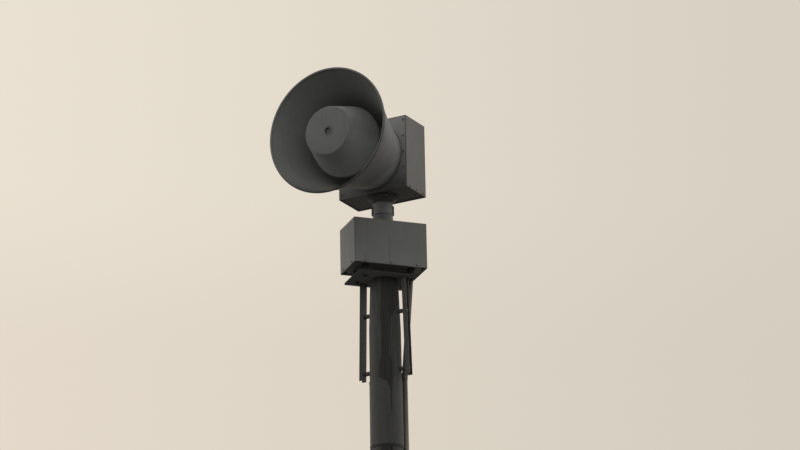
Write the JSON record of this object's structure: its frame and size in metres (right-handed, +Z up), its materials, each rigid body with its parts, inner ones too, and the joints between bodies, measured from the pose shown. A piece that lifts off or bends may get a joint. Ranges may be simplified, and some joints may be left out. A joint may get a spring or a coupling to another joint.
{
  "type": "civil defense siren on a pole",
  "caption": "Turning round warning horn with an inner cone and a sheet housing, on a drive box and channel-leg mount at the top of a wooden pole with a conduit.",
  "frame": {"origin": "centre of the pole where it meets the ground", "axes": "+Z up along the pole; the horn points along -Y at rest"},
  "size_m": [0.914, 1.0784, 14.431],
  "materials": {
    "pole_wood": "weathered grey wood with dark streaks",
    "siren_paint": "matt weathered grey paint",
    "mount_steel": "dark weathered galvanised steel with rust",
    "wrap_sheet": "dull galvanised sheet",
    "conduit_steel": "dull dark galvanised pipe"
  },
  "bodies": {
    "mast": {"pole": "pole_wood", "pole_wrap": "wrap_sheet", "mount_plate": "mount_steel", "leg_left": "mount_steel", "leg_right": "mount_steel", "spacer_upper_left": "mount_steel", "spacer_upper_right": "mount_steel", "spacer_lower_left": "mount_steel", "spacer_lower_right": "mount_steel", "foot_front_left": "mount_steel", "foot_front_right": "mount_steel", "foot_back_left": "mount_steel", "foot_back_right": "mount_steel", "drive_base": "mount_steel", "drive_cover": "siren_paint", "bearing": "siren_paint", "riser_conduit": "conduit_steel", "conduit_straps": "conduit_steel"},
    "head": {"neck_pipe": "siren_paint", "neck_collar": "siren_paint", "neck_flange": "siren_paint", "head_shell": "siren_paint", "head_front": "siren_paint", "head_base": "mount_steel", "throat_ring": "siren_paint", "horn_bell": "siren_paint", "throat_stem": "siren_paint", "inner_cone": "siren_paint", "cone_face": "siren_paint"}
  },
  "joints": [
    {"name": "head_turn", "type": "hinge", "parent": "mast", "child": "head", "pos_m": [0, 0, 13.576], "axis": [0, 0, 1], "continuous": true}
  ]
}
